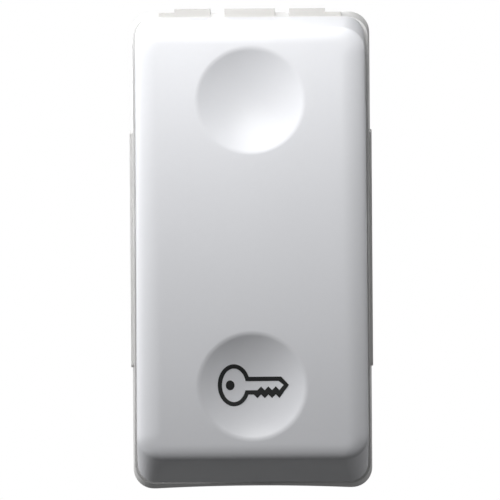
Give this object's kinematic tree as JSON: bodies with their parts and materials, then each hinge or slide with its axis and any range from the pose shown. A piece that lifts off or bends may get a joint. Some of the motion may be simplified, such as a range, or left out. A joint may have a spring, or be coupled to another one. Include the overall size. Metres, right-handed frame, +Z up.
{
  "type": "pushbutton switch",
  "caption": "Modular wall-box pushbutton with a rocking white key, finger dishes and a key pictogram, sprung double-break contact and screw terminals.",
  "frame": {"origin": "centre of the module on its seat plane, where the front frame rests on the support frame", "axes": "+X to the right as seen by the user, +Z up, -Y out of the wall towards the user"},
  "size_m": [0.0226, 0.0428, 0.0448],
  "materials": {
    "key_plastic": "satin moulded white",
    "pictogram_ink": "black pad print",
    "frame_plastic": "satin moulded white",
    "lever_plastic": "plain moulded light grey",
    "plunger_plastic": "plain moulded grey",
    "housing_plastic": "fine eroded light grey",
    "cover_plastic": "fine eroded grey",
    "spring_steel": "drawn wire",
    "retainer_steel": "stamped",
    "bridge_copper": "stamped copper alloy",
    "contact_silver": "headed silver alloy",
    "strip_brass": "stamped brass",
    "cage_steel": "zinc plated",
    "screw_steel": "zinc plated"
  },
  "bodies": {
    "housing": {"front_frame": "frame_plastic", "rear_housing": "housing_plastic", "terminal_cover": "cover_plastic", "contact_strip_upper": "strip_brass", "contact_strip_lower": "strip_brass", "fixed_contact_left": "contact_silver", "fixed_contact_right": "contact_silver", "terminal_cage_upper": "cage_steel", "terminal_cage_lower": "cage_steel"},
    "key": {"key_cap": "key_plastic", "key_symbol": "pictogram_ink", "rocker_lever": "lever_plastic"},
    "plunger": {"plunger": "plunger_plastic", "contact_bridge": "bridge_copper", "bridge_retainer": "retainer_steel", "contact_spring": "spring_steel", "return_spring": "spring_steel", "moving_contact_left": "contact_silver", "moving_contact_right": "contact_silver"},
    "clamp_upper": {"wire_clamp_upper": "cage_steel"},
    "screw_upper": {"terminal_screw_upper": "screw_steel"},
    "clamp_lower": {"wire_clamp_lower": "cage_steel"},
    "screw_lower": {"terminal_screw_lower": "screw_steel"}
  },
  "joints": [
    {"name": "key_rock", "type": "hinge", "parent": "housing", "child": "key", "pos_m": [0, -0.0015, 0], "axis": [1, 0, 0], "range_deg": [0, 7.5], "stiffness_Nm_per_rad": 0.14, "springref_deg": -3.15},
    {"name": "plunger_slide", "type": "slide", "parent": "housing", "child": "plunger", "axis": [0, 1, 0], "range_m": [0, 0.0017], "deforming": ["return_spring"]},
    {"name": "clamp_slide_upper", "type": "slide", "parent": "housing", "child": "clamp_upper", "axis": [0, 0, -1], "range_m": [0, 0.0025]},
    {"name": "screw_turn_upper", "type": "hinge", "parent": "clamp_upper", "child": "screw_upper", "pos_m": [0, 0.0215, 0.0172], "axis": [0, 0, -1], "range_deg": [0, 1800]},
    {"name": "clamp_slide_lower", "type": "slide", "parent": "housing", "child": "clamp_lower", "axis": [0, 0, 1], "range_m": [0, 0.0025]},
    {"name": "screw_turn_lower", "type": "hinge", "parent": "clamp_lower", "child": "screw_lower", "pos_m": [0, 0.0215, -0.0172], "axis": [0, 0, 1], "range_deg": [0, 1800]}
  ],
  "couplings": [
    {"joint": "plunger_slide", "follows": "key_rock", "m_per_rad": 0.013},
    {"joint": "screw_turn_upper", "follows": "clamp_slide_upper", "rad_per_m": 12566},
    {"joint": "screw_turn_lower", "follows": "clamp_slide_lower", "rad_per_m": 12566}
  ]
}
